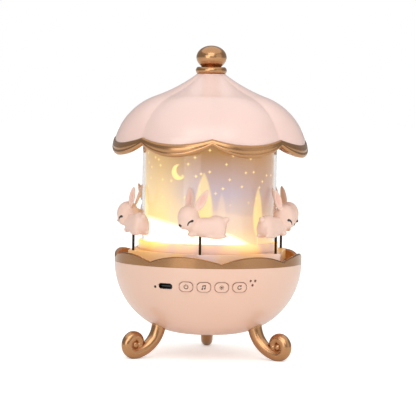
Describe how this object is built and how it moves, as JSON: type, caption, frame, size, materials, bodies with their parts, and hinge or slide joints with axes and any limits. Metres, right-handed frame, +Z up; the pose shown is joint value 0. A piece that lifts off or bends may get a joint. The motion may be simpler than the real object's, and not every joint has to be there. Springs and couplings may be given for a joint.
{
  "type": "carousel music box",
  "caption": "Carousel music box: lobed roof with gold trim and finial over a lit clear drum with film, rabbits on a turning table, round bowl base with control buttons on gold scroll legs.",
  "frame": {"origin": "on the carousel's axis, in the plane of the three foot flats", "axes": "+Z up along the turning axis, -Y towards the front with the buttons, +X to the right seen from the front"},
  "size_m": [0.1194, 0.1194, 0.1898],
  "materials": {
    "pink_shell": "satin pale pink moulding",
    "gold": "metallic champagne gold plating",
    "pink_matte": "soft matt pale pink",
    "drum_foot": "matt warm pink",
    "clear": "clear polished",
    "film": "printed translucent film",
    "dark_steel": "dark bronzed wire",
    "steel": "plain steel",
    "white_plastic": "matt ivory moulding",
    "bush": "sintered bush",
    "lens": "frosted warm diffuser",
    "board": "green solder resist",
    "cell": "wrapped cell",
    "speaker_black": "black frame and cone",
    "gasket": "soft black foam rubber"
  },
  "bodies": {
    "base": {"bowl": "pink_shell", "bowl_rim": "gold", "deck": "white_plastic", "deck_screws": "steel", "thrust_washer": "white_plastic", "retaining_clip": "steel", "lamp_post": "white_plastic", "lamp_board": "board", "lamp_led": "lens", "lamp_lens": "lens", "motor": "steel", "motor_screws": "steel", "battery": "cell", "battery_cradle": "white_plastic", "main_board": "board", "charge_board": "board", "usb_socket": "steel", "status_led": "lens", "button_board": "board", "tact_switches": "steel", "speaker": "speaker_black", "speaker_gasket": "gasket", "leg_1": "gold", "leg_2": "gold", "leg_3": "gold", "leg_screws": "steel"},
    "carousel": {"turntable": "pink_shell", "drive_gear": "white_plastic", "bearing_bush": "bush", "turntable_screws": "steel", "drum_foot": "drum_foot", "clear_drum": "clear", "film_sleeve": "film", "pole_1": "dark_steel", "pole_2": "dark_steel", "pole_3": "dark_steel", "pole_4": "dark_steel", "pole_5": "dark_steel", "pole_6": "dark_steel", "rabbit_1": "pink_matte", "rabbit_2": "pink_matte", "rabbit_3": "pink_matte", "rabbit_4": "pink_matte", "rabbit_5": "pink_matte", "rabbit_6": "pink_matte"},
    "pinion": {"motor_shaft": "steel", "motor_pinion": "white_plastic"},
    "roof": {"roof_shell": "pink_shell", "roof_trim": "gold", "finial_collar": "gold", "finial_knob": "gold", "finial_screw": "steel", "roof_plate": "white_plastic", "roof_plate_screws": "steel"},
    "button_power": {"button_power": "pink_matte"},
    "button_music": {"button_music": "pink_matte"},
    "button_light": {"button_light": "pink_matte"},
    "button_spin": {"button_spin": "pink_matte"}
  },
  "joints": [
    {"name": "carousel_spin", "type": "hinge", "parent": "base", "child": "carousel", "pos_m": [0, 0, 0.0652], "axis": [0, 0, 1], "continuous": true},
    {"name": "pinion_spin", "type": "hinge", "parent": "base", "child": "pinion", "pos_m": [0.03, 0, 0.0606], "axis": [0, 0, 1], "continuous": true},
    {"name": "roof_lift", "type": "slide", "parent": "carousel", "child": "roof", "axis": [0, 0, 1], "range_m": [0, 0.045]},
    {"name": "button_power_press", "type": "slide", "parent": "base", "child": "button_power", "axis": [0, 1, 0], "range_m": [0, 0.0008], "stiffness_N_per_m": 400},
    {"name": "button_music_press", "type": "slide", "parent": "base", "child": "button_music", "axis": [0, 1, 0], "range_m": [0, 0.0008], "stiffness_N_per_m": 400},
    {"name": "button_light_press", "type": "slide", "parent": "base", "child": "button_light", "axis": [0, 1, 0], "range_m": [0, 0.0008], "stiffness_N_per_m": 400},
    {"name": "button_spin_press", "type": "slide", "parent": "base", "child": "button_spin", "axis": [0, 1, 0], "range_m": [0, 0.0008], "stiffness_N_per_m": 400}
  ],
  "couplings": [
    {"joint": "pinion_spin", "follows": "carousel_spin", "ratio": -4}
  ]
}
